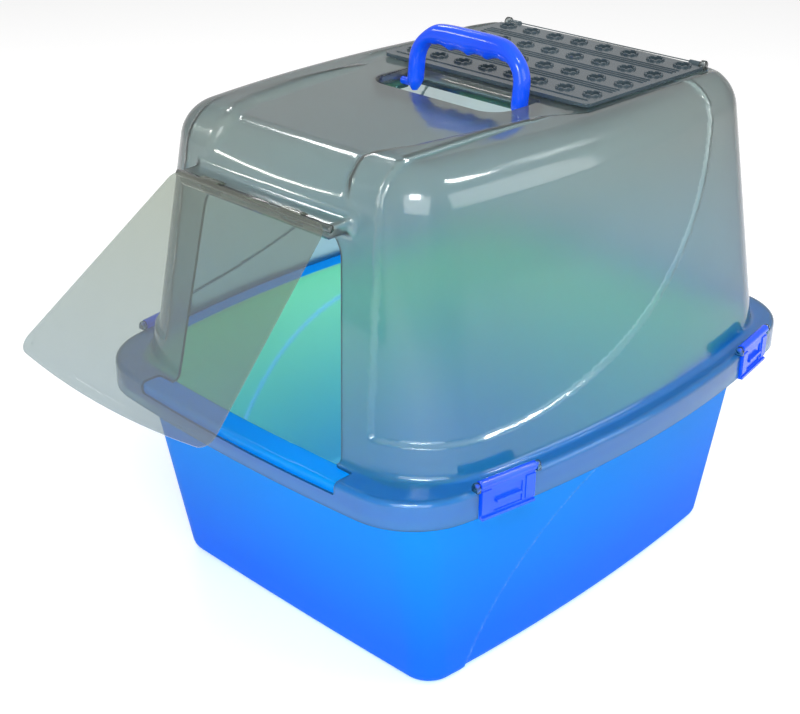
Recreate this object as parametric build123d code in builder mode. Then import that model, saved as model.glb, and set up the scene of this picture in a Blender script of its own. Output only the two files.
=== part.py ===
"""Hooded cat litter box: a tapered pan, a lift-off hood with a swinging door, a carry
handle, a tip-up vent cover over an odour filter, and four rim latches.
Millimetres, +Z up, entrance facing -Y, origin at the centre of the underside."""
from build123d import *
from math import asin, cos, degrees, radians, sin, sqrt
import os

# ---------------------------------------------------------------- driving dimensions
# plan outline of the rim: bowed sides and ends, joined by corner arcs
RIM_HALF_WIDTH = 222.0
RIM_HALF_LENGTH = 269.5
RIM_CORNER = 67.0
SIDE_TURN = 11.9                # degrees that each half of a long side turns
END_TURN = 4.8                  # degrees that each half of an end turns
SIDE_RADIUS = 1021.7            # radius of the long sides that these give

# pan
PAN_WALL = 2.6
PAN_FLOOR = 3.0
PAN_FOOT = (168.0, 200.5, 26.0)             # half width, half length, corner at the floor
PAN_MOUTH = (196.0, 243.5, 36.0)            # the same, outside, just under the rim
PAN_MOUTH_HEIGHT = 205.6
PAN_RIM_TOP = 208.2
PAN_LIP_BOTTOM = 193.0
PAN_RIM_INSET = 3.2                         # rim's outer face inside the hood's skirt
PAN_SIDE_STEP = 2.5                         # depth of the sunk panel on each long side

# hood
HOOD_WALL = 2.4
FLANGE_TOP = 211.0
SKIRT_BOTTOM = 187.0
ROOF_TOP = 443.0                            # crown of the two shoulders
BODY_FOOT = (206.3, 248.2, 5.2, 84.0)       # half width, half length, centre y, corner
BODY_CROWN = (160.6, 217.5, 7.0, 44.0)      # the same at the roof
BODY_TURNS = (10.0, 4.0)
SHOULDER_RADIUS = 39.0
PANEL_STEP = 3.4                            # depth of the D-shaped side panels
PANEL_CENTRE = (-180.0, 447.0)              # y, z of the ellipse that bounds them
PANEL_RADII = (329.0, 209.0)
PILLAR_CREASE = ((127.0, 190.0), (104.0, 480.0))   # x, z of the panels' front edges
CHANNEL_FLOOR = 437.5
ROOF_CREASE = -191.0                        # where the roof bends down to the front slope
SLOPE_FOOT = -222.0                         # where the slope meets the eave
EAVE_TOP = 399.8
BROW_HALF_WIDTH = 88.0
BROW_FLOOR = 388.0

# entrance
SILL_HEIGHT = 200.0
ENTRANCE_BOTTOM_HALF = 100.0
ENTRANCE_TOP_HALF = 77.0
ENTRANCE_TOP = 387.0
FLANGE_GAP_HALF = 118.0

# door
HINGE_Y = -236.0
HINGE_Z = 397.0
HINGE_BAR_RADIUS = 3.0
HOOK_INNER = 3.9
DOOR_THICKNESS = 1.2
DOOR_HALF_WIDTHS = (86.5, 115.0)            # at the hinge and at the foot
DOOR_LENGTH = 191.0
DOOR_OPEN = 50.0                            # degrees that it stands out from hanging
HOOK_CENTRE = 46.5
HOOK_WIDTH = 21.0
HOOK_SLOT = 24.0

# hand well and handle
WELL_HALF = 74.0
WELL_FRONT = -42.0
WELL_REAR = 17.0
PIVOT_Y = 5.0
PIVOT_Z = 428.0
PIVOT_RADIUS = 3.5
HANDLE_HALF = 65.0
HANDLE_LEG = 11.0
HANDLE_DEPTH = 16.0
HANDLE_TOP = 483.0
HANDLE_BAR = 21.0
HANDLE_LEAN = 6.0                           # degrees that it stands tipped back
HANDLE_TIP = 8.0

# vent cover and filter
VENT_HALF = 116.0
VENT_FRONT = 22.0
VENT_REAR = 190.4
VENT_BOTTOM = 439.0
VENT_TOP = 442.0
VENT_HINGE_Y = 193.0
VENT_HINGE_Z = 441.5
VENT_COLUMNS = 8
VENT_ROWS = 4
VENT_PITCH_X = 28.6
VENT_PITCH_Y = 43.0
VENT_HOLE = 6.2
FILTER_HALF = 96.0
FILTER_FRONT = 36.0
FILTER_REAR = 180.0
FILTER_DEPTH = 16.0

# latches
LATCH_Y = 170.0
LATCH_HALF = 26.0
LATCH_CUT_HALF = 27.5
LATCH_AXIS_OUT = -1.0                       # knuckle axis, measured out from the skirt face
LATCH_AXIS_Z = 215.0
LATCH_KNUCKLE = 3.6
LATCH_PIN = 1.9
FREE = 0.1                                  # radial play of a pin in its hole


# ---------------------------------------------------------------- shared outlines
def bowed_outline(height, half_width, half_length, corner, turns, centre_y=0.0):
    """Level face whose sides and ends are shallow arcs, tangent to its corner arcs."""
    side, end = (radians(turn) for turn in turns)
    a11 = cos(side) - 1
    a12 = -sin(end)
    a21 = sin(side)
    a22 = 1 - cos(end)
    b1 = -half_width + corner * (cos(side) - sin(end))
    b2 = half_length + corner * (sin(side) - cos(end))
    det = a11 * a22 - a12 * a21
    side_r = (b1 * a22 - a12 * b2) / det
    end_r = (a11 * b2 - a21 * b1) / det
    cx = half_width - side_r + (side_r - corner) * cos(side)
    cy = (side_r - corner) * sin(side)
    sweep = 90 - turns[0] - turns[1]
    with BuildSketch(Plane.XY.offset(height), mode=Mode.PRIVATE) as face:
        with BuildLine():
            with Locations((0, centre_y)):
                CenterArc((half_width - side_r, 0), side_r, -turns[0], 2 * turns[0])
                CenterArc((cx, cy), corner, turns[0], sweep)
                CenterArc((0, half_length - end_r), end_r, 90 - turns[1], 2 * turns[1])
                CenterArc((-cx, cy), corner, 90 + turns[1], sweep)
                CenterArc((side_r - half_width, 0), side_r, 180 - turns[0], 2 * turns[0])
                CenterArc((-cx, -cy), corner, 180 + turns[0], sweep)
                CenterArc((0, end_r - half_length), end_r, 270 - turns[1], 2 * turns[1])
                CenterArc((cx, -cy), corner, 270 + turns[1], sweep)
        make_face()
    return face.sketch


def rim_outline(height, inset):
    """Rim outline, drawn parallel to the skirt's outer face."""
    return bowed_outline(
        height,
        RIM_HALF_WIDTH - inset,
        RIM_HALF_LENGTH - inset,
        RIM_CORNER - inset,
        (SIDE_TURN, END_TURN),
    )


def profile_yz(points, half_width):
    """Prism along X, from -half_width to half_width, over a closed outline of (y, z) points."""
    with BuildPart(mode=Mode.PRIVATE) as prism:
        with BuildSketch(Plane.YZ):
            with BuildLine():
                Polyline(*points, close=True)
            make_face()
        extrude(amount=half_width, both=True)
    return prism.part


def block(x, y, z):
    """Box between two x, two y and two z values."""
    with BuildPart(mode=Mode.PRIVATE) as box:
        with BuildSketch(Plane.XY.offset(z[0])):
            with Locations(((x[0] + x[1]) / 2, (y[0] + y[1]) / 2)):
                Rectangle(x[1] - x[0], y[1] - y[0])
        extrude(amount=z[1] - z[0])
    return box.part


def rod_x(x0, x1, y, z, radius):
    """Round bar along X from x0 to x1."""
    with BuildPart(mode=Mode.PRIVATE) as rod:
        with BuildSketch(Plane.YZ.offset(x0)):
            with Locations((y, z)):
                Circle(radius)
        extrude(amount=x1 - x0)
    return rod.part


def mirrored_pair(shape):
    """A shape and its mirror image across the plane x = 0."""
    return [shape, mirror(shape, about=Plane.YZ, mode=Mode.PRIVATE)]


# ---------------------------------------------------------------- pan
def pan_body(inset, side_step, floor, top, edge):
    """Tapered tub form, inset from the outer face, narrowed by side_step at its long sides."""

    def level(height):
        share = height / PAN_MOUTH_HEIGHT
        size = [low + (high - low) * share for low, high in zip(PAN_FOOT, PAN_MOUTH)]
        turns = [5.2 + (SIDE_TURN - 5.2) * share, 1.0 + (END_TURN - 1.0) * share]
        return bowed_outline(
            height, size[0] - inset - side_step, size[1] - inset, size[2] - inset, turns
        )

    with BuildPart(mode=Mode.PRIVATE) as body:
        loft(sections=[level(floor), level(top)], ruled=True)
        fillet(body.edges().group_by(Axis.Z)[0], radius=edge)
    return body.part


def pan_panel_prism():
    """Everything above and in front of the arc that bounds the sunk side panels."""
    with BuildPart(mode=Mode.PRIVATE) as prism:
        with BuildSketch(Plane.YZ):
            with BuildLine():
                ThreePointArc((-160, -4), (-98, 105), (50, 177))
                Polyline((50, 177), (90, 230), (-320, 230), (-320, -4), (-160, -4))
            make_face()
        extrude(amount=260, both=True)
    return prism.part


with BuildPart() as pan:
    # the tub: the rear of each long side is sunk behind a sweeping step
    proud = pan_body(0, 0, 0, PAN_MOUTH_HEIGHT, 11)
    sunk = pan_body(0, PAN_SIDE_STEP, 0, PAN_MOUTH_HEIGHT, 11)
    add(proud)
    add(pan_panel_prism(), mode=Mode.INTERSECT)
    add(sunk)
    # the rim: a flange with a rolled-down lip
    with BuildPart(mode=Mode.PRIVATE) as rim:
        add(rim_outline(PAN_LIP_BOTTOM, PAN_RIM_INSET))
        extrude(amount=PAN_RIM_TOP - PAN_LIP_BOTTOM)
        fillet(rim.edges().group_by(Axis.Z)[-1], radius=1.6)
        add(rim_outline(PAN_LIP_BOTTOM, PAN_RIM_INSET + PAN_WALL))
        extrude(amount=PAN_MOUTH_HEIGHT - PAN_LIP_BOTTOM, mode=Mode.SUBTRACT)
    add(rim.part)
    add(
        pan_body(PAN_WALL, PAN_SIDE_STEP / 2, PAN_FLOOR, PAN_RIM_TOP + 2, 9),
        mode=Mode.SUBTRACT,
    )
    pan.part.label = "pan"


# ---------------------------------------------------------------- hood
def hood_level(height, inset):
    """Outline of the hood's wall at a height: straight tapers from flange to roof."""
    share = (height - FLANGE_TOP) / (ROOF_TOP - FLANGE_TOP)
    size = [low + (high - low) * share for low, high in zip(BODY_FOOT, BODY_CROWN)]
    return bowed_outline(
        height, size[0] - inset, size[1] - inset, size[3] - inset, BODY_TURNS, size[2]
    )


def hood_form(inset, foot):
    """Tapered body with wide rounded shoulders."""
    crown = ROOF_TOP - inset
    with BuildPart(mode=Mode.PRIVATE) as body:
        loft(sections=[hood_level(foot, inset), hood_level(crown, inset)], ruled=True)
        fillet(body.edges().group_by(Axis.Z)[-1], radius=SHOULDER_RADIUS - inset)
    return body.part


def panel_region(widen):
    """The D-shaped region at each side where the wall is sunk, from the pillar crease back."""
    middle_y, middle_z = PANEL_CENTRE
    radius_y, radius_z = (radius + widen for radius in PANEL_RADII)
    rear = middle_y + radius_y
    foot = middle_z - radius_z
    above = ROOF_TOP + 37
    (low_x, low_z), (high_x, high_z) = PILLAR_CREASE
    with BuildPart(mode=Mode.PRIVATE) as region:
        with BuildSketch(Plane.YZ):
            with BuildLine():
                EllipticalCenterArc(PANEL_CENTRE, radius_y, radius_z, start_angle=270, arc_size=90)
                Polyline(
                    (rear, middle_z), (rear, above), (-320, above), (-320, foot), (middle_y, foot)
                )
            make_face()
        extrude(amount=260, both=True)
        with BuildSketch(Plane.XZ.offset(-320)):
            with BuildLine():
                Polyline(
                    (widen - low_x, low_z), (widen - high_x, high_z), (high_x - widen, high_z),
                    (low_x - widen, low_z), close=True,
                )
            make_face()
        extrude(amount=640, mode=Mode.SUBTRACT)
    return region.part


def channel_plan(height, widen):
    """Plan of the sunk roof channel: it flares from the brow to the vent."""
    half = [
        (70 + widen, -320), (70 + widen, ROOF_CREASE), (84 + widen, -155), (97 + widen, -75),
        (105 + widen, -18), (121 + widen, 14), (121 + widen, 330),
    ]
    corners = half + [(-x, y) for x, y in reversed(half)]
    with BuildSketch(Plane.XY.offset(height), mode=Mode.PRIVATE) as plan:
        with BuildLine():
            Polyline(*corners, close=True)
        make_face()
        bends = [v for v in plan.vertices() if -25 < v.Y < 20]
        fillet(bends, radius=26)
    return plan.sketch


def brow_trough(inset):
    """Space above the front slope, which widens from the roof's crease down to the eave."""
    crease = (ROOF_CREASE + inset / 2, CHANNEL_FLOOR - inset)
    foot = (SLOPE_FOOT + inset / 2, EAVE_TOP - inset)
    above = [crease, foot, (-330, EAVE_TOP - inset), (-330, 520), (crease[0], 520)]
    plan = [
        (70 + inset, -150), (70 + inset, ROOF_CREASE), (90 + inset, SLOPE_FOOT), (90 + inset, -330)
    ]
    with BuildPart(mode=Mode.PRIVATE) as trough:
        with BuildSketch(Plane.XY.offset(350)):
            with BuildLine():
                Polyline(*plan, *[(-x, y) for x, y in reversed(plan)], close=True)
            make_face()
        extrude(amount=170)
        add(profile_yz(above, 150), mode=Mode.INTERSECT)
    return trough.part


def channel_cut(inset):
    """Space above the roof channel and above the front slope."""
    floor = CHANNEL_FLOOR - inset
    with BuildPart(mode=Mode.PRIVATE) as cut:
        loft(sections=[channel_plan(floor, inset), channel_plan(floor + 30, inset + 30)], ruled=True)
        add(block((-250, 250), (ROOF_CREASE + inset / 2, 330), (floor - 1, 520)), mode=Mode.INTERSECT)
        add(brow_trough(inset))
    return cut.part


def brow_wedge(inset):
    """The eave over the entrance, closed below by a narrow shelf."""
    front = HINGE_Y - 1.2 + inset
    points = [
        (-200, BROW_FLOOR + inset), (front, BROW_FLOOR + inset), (front, EAVE_TOP - 0.6 - inset),
        (SLOPE_FOOT, EAVE_TOP - inset), (-200, 410 - inset),
    ]
    return profile_yz(points, BROW_HALF_WIDTH - inset)


def hood_skin(inset, foot):
    """The hood's outer form, or its cavity when inset by the wall."""
    with BuildPart(mode=Mode.PRIVATE) as skin:
        add(hood_form(inset, foot))
        add(panel_region(inset), mode=Mode.SUBTRACT)
        add(hood_form(PANEL_STEP + inset, foot))
        add(channel_cut(inset), mode=Mode.SUBTRACT)
        add(brow_wedge(inset))
    return skin.part


def entrance_prism():
    """Trapezoid opening with rounded top corners, through the front wall only."""
    slope = (ENTRANCE_BOTTOM_HALF - ENTRANCE_TOP_HALF) / (ENTRANCE_TOP - FLANGE_TOP)
    foot = ENTRANCE_BOTTOM_HALF + slope * (FLANGE_TOP - SILL_HEIGHT)
    with BuildPart(mode=Mode.PRIVATE) as prism:
        with BuildSketch(Plane.XZ.offset(190)) as face:
            with BuildLine():
                Polyline(
                    (-foot, SILL_HEIGHT), (foot, SILL_HEIGHT), (ENTRANCE_TOP_HALF, ENTRANCE_TOP),
                    (-ENTRANCE_TOP_HALF, ENTRANCE_TOP), close=True,
                )
            make_face()
            fillet(face.vertices().group_by(Axis.Y)[-1], radius=20)
        extrude(amount=120)
    return prism.part


def well_outline(height, inset):
    """Hand well under the handle: straight at the rear, rounded at the front."""
    front = WELL_FRONT + inset
    rear = WELL_REAR - inset
    with BuildSketch(Plane.XY.offset(height), mode=Mode.PRIVATE) as plan:
        with Locations((0, (front + rear) / 2)):
            Rectangle(2 * (WELL_HALF - inset), rear - front)
        fillet(plan.vertices().group_by(Axis.Y)[0], radius=22 - inset)
        fillet(plan.vertices().group_by(Axis.Y)[-1], radius=5 - inset)
    return plan.sketch


def latch_plane(side, end):
    """Local frame on the skirt: x runs along the rim, y up, and the normal points outwards."""
    turn = asin(LATCH_Y / SIDE_RADIUS)
    x = RIM_HALF_WIDTH - SIDE_RADIUS * (1 - cos(turn))
    normal = (side * cos(turn), end * sin(turn), 0)
    along = (-normal[1], normal[0], 0)
    return Plane(origin=(side * x, end * LATCH_Y, 0), x_dir=along, z_dir=normal)


def latch_block(plane, x, y, out):
    """Box in a latch's local frame."""
    with BuildPart(mode=Mode.PRIVATE) as box:
        with BuildSketch(plane.offset(out[0])):
            with Locations(((x[0] + x[1]) / 2, (y[0] + y[1]) / 2)):
                Rectangle(x[1] - x[0], y[1] - y[0])
        extrude(amount=out[1] - out[0])
    return box.part


def latch_rod(plane, x0, x1, radius):
    """Round bar on a latch's knuckle axis."""
    centre = plane.from_local_coords((x0, LATCH_AXIS_Z, LATCH_AXIS_OUT))
    with BuildPart(mode=Mode.PRIVATE) as rod:
        with BuildSketch(Plane(origin=centre, z_dir=plane.x_dir)):
            Circle(radius)
        extrude(amount=x1 - x0)
    return rod.part


LATCH_PLACES = {
    "front_right": (1, -1),
    "front_left": (-1, -1),
    "rear_right": (1, 1),
    "rear_left": (-1, 1),
}

with BuildPart() as hood:
    # skirt and flange over the pan's rim, with the tapered body above
    add(rim_outline(SKIRT_BOTTOM, 0))
    extrude(amount=FLANGE_TOP - SKIRT_BOTTOM)
    fillet(hood.edges().group_by(Axis.Z)[-1], radius=2.0)
    add(hood_skin(0, FLANGE_TOP - 1))
    add(hood_skin(HOOD_WALL, SKIRT_BOTTOM - 1), mode=Mode.SUBTRACT)
    add(rim_outline(SKIRT_BOTTOM - 1, HOOD_WALL))
    extrude(amount=FLANGE_TOP - HOOD_WALL - SKIRT_BOTTOM + 1, mode=Mode.SUBTRACT)

    # entrance, and the flange cut away before it, leaving a low strip of skirt
    add(entrance_prism(), mode=Mode.SUBTRACT)
    add(
        block((-FLANGE_GAP_HALF, FLANGE_GAP_HALF), (-300, -245.2), (SILL_HEIGHT, FLANGE_TOP + 1)),
        mode=Mode.SUBTRACT,
    )

    # hinge bar along the brow, freed by a slot at each door hook
    for side in (-1, 1):
        middle = side * HOOK_CENTRE
        slot = (middle - HOOK_SLOT / 2, middle + HOOK_SLOT / 2)
        add(rod_x(*slot, HINGE_Y, HINGE_Z, HOOK_INNER + DOOR_THICKNESS + 1.1), mode=Mode.SUBTRACT)
    add(rod_x(-BROW_HALF_WIDTH, BROW_HALF_WIDTH, HINGE_Y, HINGE_Z, HINGE_BAR_RADIUS))

    # hand well: a skirted opening that also carries the handle's pins
    add(well_outline(CHANNEL_FLOOR - 14, -HOOD_WALL))
    extrude(amount=14)
    for side in (-1, 1):
        ear = sorted((side * WELL_HALF, side * (WELL_HALF + 3.4)))
        add(block(ear, (PIVOT_Y - 8, PIVOT_Y + 8), (PIVOT_Z - 8, CHANNEL_FLOOR - 0.5)))
    add(well_outline(CHANNEL_FLOOR - 30, 0))
    extrude(amount=60, mode=Mode.SUBTRACT)
    add(
        rod_x(-WELL_HALF - 10, WELL_HALF + 10, PIVOT_Y, PIVOT_Z, PIVOT_RADIUS + FREE),
        mode=Mode.SUBTRACT,
    )

    # filter well with a slotted floor
    well = (-FILTER_HALF, FILTER_HALF)
    depth = CHANNEL_FLOOR - FILTER_DEPTH
    add(
        block(
            (well[0] - HOOD_WALL, well[1] + HOOD_WALL),
            (FILTER_FRONT - HOOD_WALL, FILTER_REAR + HOOD_WALL),
            (depth - HOOD_WALL, CHANNEL_FLOOR - 0.2),
        )
    )
    add(
        block(well, (FILTER_FRONT, FILTER_REAR), (depth, CHANNEL_FLOOR + 1)),
        mode=Mode.SUBTRACT,
    )
    with BuildSketch(Plane.XY.offset(depth - HOOD_WALL - 1)):
        with Locations((0, (FILTER_FRONT + FILTER_REAR) / 2)):
            with GridLocations(31, 14, 6, 9):
                SlotOverall(25, 7)
    extrude(amount=HOOD_WALL + 2, mode=Mode.SUBTRACT)

    # lugs for the vent cover's pins
    for side in (-1, 1):
        lug = sorted((side * 110.0, side * 114.5))
        add(block(lug, (188, 198), (CHANNEL_FLOOR - 2, VENT_HINGE_Z)))
        add(rod_x(*lug, VENT_HINGE_Y, VENT_HINGE_Z, 5.0))
    add(rod_x(-117, 117, VENT_HINGE_Y, VENT_HINGE_Z, 1.8 + FREE), mode=Mode.SUBTRACT)

    # latch cut-outs in the skirt, each with two pierced lugs on the flange
    for side, end in LATCH_PLACES.values():
        place = latch_plane(side, end)
        cut = (-LATCH_CUT_HALF, LATCH_CUT_HALF)
        add(latch_block(place, cut, (SKIRT_BOTTOM - 2, FLANGE_TOP + 5), (-4.6, 6)), mode=Mode.SUBTRACT)
        for lug in ((-LATCH_CUT_HALF - 4, -LATCH_CUT_HALF), (LATCH_CUT_HALF, LATCH_CUT_HALF + 4)):
            add(latch_block(place, lug, (FLANGE_TOP - 1, LATCH_AXIS_Z), (-5.0, 2.8)))
            add(latch_rod(place, *lug, 3.9))
        add(
            latch_rod(place, -LATCH_CUT_HALF - 5, LATCH_CUT_HALF + 5, LATCH_PIN + FREE),
            mode=Mode.SUBTRACT,
        )
    hood.part.label = "hood"


# ---------------------------------------------------------------- door flap
def door_plane():
    """Frame on the hinge axis: x across, y up along the door, normal away from the box."""
    turn = radians(DOOR_OPEN)
    return Plane(origin=(0, HINGE_Y, HINGE_Z), x_dir=(1, 0, 0), z_dir=(0, -cos(turn), sin(turn)))


with BuildPart() as door_flap:
    # a thin sheet that widens downwards, its foot bowed, with a raised rib above the edge
    flap = door_plane()
    top, foot = DOOR_HALF_WIDTHS
    with BuildSketch(flap.offset(HOOK_INNER)) as sheet:
        with BuildLine():
            Polyline((-foot, -183), (-top, -0.4), (top, -0.4), (foot, -183))
            ThreePointArc((foot, -183), (0, -DOOR_LENGTH), (-foot, -183))
        make_face()
        fillet(sheet.vertices().group_by(Axis.Y)[-1], radius=11)
        fillet(sheet.vertices().group_by(Axis.Y)[0], radius=12)
    extrude(amount=DOOR_THICKNESS)
    with BuildSketch(flap.offset(HOOK_INNER + DOOR_THICKNESS)):
        with BuildLine():
            ThreePointArc((-103, -174.5), (0, -182), (103, -174.5))
            Line((103, -174.5), (103, -176.3))
            ThreePointArc((103, -176.3), (0, -183.8), (-103, -176.3))
            Line((-103, -176.3), (-103, -174.5))
        make_face()
    extrude(amount=0.8)
    # hooks that wrap the hinge bar
    for side in (-1, 1):
        start = side * HOOK_CENTRE - HOOK_WIDTH / 2
        turn = DOOR_OPEN
        with BuildSketch(Plane.YZ.offset(start)):
            with BuildLine():
                centre = (HINGE_Y, HINGE_Z)
                outer = CenterArc(centre, HOOK_INNER + DOOR_THICKNESS, 190 - turn, -215)
                inner = CenterArc(centre, HOOK_INNER, 190 - turn, -215)
                Line(outer @ 0, inner @ 0)
                Line(outer @ 1, inner @ 1)
            make_face()
        extrude(amount=HOOK_WIDTH)
    door_flap.part.label = "door_flap"


# ---------------------------------------------------------------- carry handle
def handle_plane(depth):
    """Frame on the pivot, leaning back with the handle: x across, y up, the normal forwards."""
    lean = radians(HANDLE_LEAN)
    pivot = Plane(
        origin=(0, PIVOT_Y, PIVOT_Z), x_dir=(1, 0, 0), z_dir=(0, -cos(lean), sin(lean))
    )
    return pivot.offset(depth)


with BuildPart() as carry_handle:
    # bail: two legs, a bar with finger scallops, and a pin at each tip
    half = HANDLE_DEPTH / 2
    height = HANDLE_TOP - PIVOT_Z
    inner_half = HANDLE_HALF - HANDLE_LEG
    bar_bottom = height - HANDLE_BAR
    with BuildSketch(handle_plane(-half)) as face:
        with Locations((0, (height - HANDLE_TIP) / 2)):
            Rectangle(2 * HANDLE_HALF, height + HANDLE_TIP)
        fillet(face.vertices().group_by(Axis.Y)[-1], radius=29)
        with Locations((0, (bar_bottom - HANDLE_TIP) / 2 - 1)):
            Rectangle(2 * inner_half, bar_bottom + HANDLE_TIP + 2, mode=Mode.SUBTRACT)
        window = face.vertices().filter_by(lambda v: abs(v.Y - bar_bottom) < 0.01)
        fillet(window, radius=10)
        with Locations(*[(x, bar_bottom - 12.2) for x in (-31.5, -10.5, 10.5, 31.5)]):
            Circle(15, mode=Mode.SUBTRACT)
    extrude(amount=2 * half)
    # round the tips about the pivot
    with BuildSketch(Plane(origin=(-HANDLE_HALF, PIVOT_Y, PIVOT_Z), x_dir=(0, 1, 0), z_dir=(1, 0, 0))):
        with BuildLine():
            lean = radians(HANDLE_LEAN)
            rear = (half * cos(lean), -half * sin(lean))
            up = (80 * sin(lean), 80 * cos(lean))
            Polyline(
                rear, (rear[0] + up[0], rear[1] + up[1]), (up[0] - rear[0], up[1] - rear[1]),
                (-rear[0], -rear[1]),
            )
            ThreePointArc(
                (-rear[0], -rear[1]), (-half * sin(lean), -half * cos(lean)), rear
            )
        make_face()
    extrude(amount=2 * HANDLE_HALF, mode=Mode.INTERSECT)
    pin = WELL_HALF + 3.2
    for x0, x1 in ((-pin, -inner_half - 2), (inner_half + 2, pin)):
        add(rod_x(x0, x1, PIVOT_Y, PIVOT_Z, PIVOT_RADIUS))
    carry_handle.part.label = "carry_handle"


# ---------------------------------------------------------------- vent cover
with BuildPart() as vent_cover:
    middle = (VENT_FRONT + VENT_REAR) / 2
    with BuildSketch(Plane.XY.offset(VENT_BOTTOM)) as plate:
        with Locations((0, middle)):
            Rectangle(2 * VENT_HALF, VENT_REAR - VENT_FRONT)
        fillet(plate.vertices().group_by(Axis.Y)[0], radius=7)
        with Locations(*[(x, VENT_REAR) for x in (-VENT_HALF, VENT_HALF)]):
            Rectangle(14, 9, mode=Mode.SUBTRACT)
    extrude(amount=VENT_TOP - VENT_BOTTOM)
    # down-turned front edge that rests on the roof
    add(block((-100, 100), (VENT_FRONT + 1, VENT_FRONT + 3.4), (CHANNEL_FLOOR + 0.4, VENT_BOTTOM + 1)))
    # raised ring around every hole, then the holes
    first_row = 49.0
    grid_middle = first_row + VENT_PITCH_Y * (VENT_ROWS - 1) / 2
    with BuildSketch(Plane.XY.offset(VENT_TOP)):
        with Locations((0, grid_middle)):
            with GridLocations(VENT_PITCH_X, VENT_PITCH_Y, VENT_COLUMNS, VENT_ROWS):
                Circle(VENT_HOLE + 2.2)
    extrude(amount=0.9)
    # fine ribs between the rows
    with BuildSketch(Plane.XY.offset(VENT_TOP)):
        for row in range(VENT_ROWS + 1):
            rib_y = first_row + VENT_PITCH_Y * (row - 0.5)
            offsets = (5.0,) if row == 0 else (-5.0,) if row == VENT_ROWS else (-5.0, 0.0, 5.0)
            with Locations(*[(0, rib_y + shift) for shift in offsets]):
                Rectangle(2 * VENT_HALF - 16, 1.3)
    extrude(amount=0.7)
    with BuildSketch(Plane.XY.offset(VENT_BOTTOM - 1)):
        with Locations((0, grid_middle)):
            with GridLocations(VENT_PITCH_X, VENT_PITCH_Y, VENT_COLUMNS, VENT_ROWS):
                Circle(VENT_HOLE)
    extrude(amount=10, mode=Mode.SUBTRACT)
    # hinge knuckles with pins
    for side in (-1, 1):
        knuckle = sorted((side * 98.0, side * 108.6))
        arm = (VENT_REAR - 1, VENT_HINGE_Y)
        add(block(knuckle, arm, (VENT_BOTTOM, VENT_TOP)))
        add(rod_x(*knuckle, VENT_HINGE_Y, VENT_HINGE_Z, 2.9))
        add(rod_x(*sorted((side * 108.6, side * 114.0)), VENT_HINGE_Y, VENT_HINGE_Z, 1.8))
    vent_cover.part.label = "vent_cover"


# ---------------------------------------------------------------- odour filter
with BuildPart() as odor_filter:
    pad_bottom = CHANNEL_FLOOR - FILTER_DEPTH + 0.3
    add(
        block(
            (-FILTER_HALF + 1, FILTER_HALF - 1),
            (FILTER_FRONT + 1, FILTER_REAR - 1),
            (pad_bottom, pad_bottom + 12),
        )
    )
    fillet(odor_filter.edges().filter_by(Axis.Z), radius=6)
    fillet(odor_filter.faces().sort_by(Axis.Z)[-1].edges(), radius=3)
    odor_filter.part.label = "odor_filter"


# ---------------------------------------------------------------- latches
def make_latch(place):
    """Plate that hangs from a knuckle, with a finger ledge and an inward bead at its foot."""
    plate_in = -1.6
    plate_out = 1.4
    with BuildPart() as latch:
        add(latch_block(place, (-LATCH_HALF, LATCH_HALF), (187.0, LATCH_AXIS_Z), (plate_in, plate_out)))
        add(latch_block(place, (-14, 14), (189.5, 207), (plate_out - 1.0, plate_out)), mode=Mode.SUBTRACT)
        # finger ledge in the recess, side wings, and the lifting lip at the foot
        add(latch_block(place, (-12, 12), (197.0, 199.4), (plate_in, plate_out + 2.0)))
        for wing in ((-LATCH_HALF, -17), (17, LATCH_HALF)):
            add(latch_block(place, wing, (190, 210), (plate_out, plate_out + 0.9)))
        add(latch_block(place, (-LATCH_HALF, LATCH_HALF), (185.4, 187.6), (plate_in, plate_out + 1.6)))
        # bead that snaps below the pan's lip
        add(latch_block(place, (-20, 20), (187.4, 190.6), (-2.9, plate_in)))
        add(latch_rod(place, -LATCH_CUT_HALF + 0.5, LATCH_CUT_HALF - 0.5, LATCH_KNUCKLE))
        add(latch_rod(place, -LATCH_CUT_HALF - 3.6, LATCH_CUT_HALF + 3.6, LATCH_PIN))
    return latch.part


# ---------------------------------------------------------------- export
pieces = [pan.part, hood.part, door_flap.part, carry_handle.part, vent_cover.part, odor_filter.part]
for name, (side, end) in LATCH_PLACES.items():
    latch_part = make_latch(latch_plane(side, end))
    latch_part.label = "latch_" + name
    pieces.append(latch_part)

os.makedirs("parts", exist_ok=True)
for piece in pieces:
    export_step(piece, f"parts/{piece.label}.step")
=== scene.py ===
"""Looks of a hooded cat litter box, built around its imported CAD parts.

The frame and the finished pieces are in metres; the shapes below are worked out in
millimetres in the same frame: Z up, entrance towards -Y, origin under the pan's middle."""

from math import asin, cos, pi, radians, sin

import bpy
import numpy as np
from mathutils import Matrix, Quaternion, Vector


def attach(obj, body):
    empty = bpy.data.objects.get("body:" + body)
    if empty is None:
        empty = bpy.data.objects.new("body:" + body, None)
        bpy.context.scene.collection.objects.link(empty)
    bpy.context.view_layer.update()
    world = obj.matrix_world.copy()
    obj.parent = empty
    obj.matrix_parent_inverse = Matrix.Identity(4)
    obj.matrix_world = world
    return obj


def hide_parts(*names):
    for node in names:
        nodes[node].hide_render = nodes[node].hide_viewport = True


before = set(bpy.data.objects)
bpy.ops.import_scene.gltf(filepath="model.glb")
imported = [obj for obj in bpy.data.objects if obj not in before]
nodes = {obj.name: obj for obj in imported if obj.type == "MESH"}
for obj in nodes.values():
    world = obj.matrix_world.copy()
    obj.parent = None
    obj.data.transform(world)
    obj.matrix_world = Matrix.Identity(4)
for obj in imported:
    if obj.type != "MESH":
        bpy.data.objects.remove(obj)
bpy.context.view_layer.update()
scene = bpy.context.scene

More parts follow.
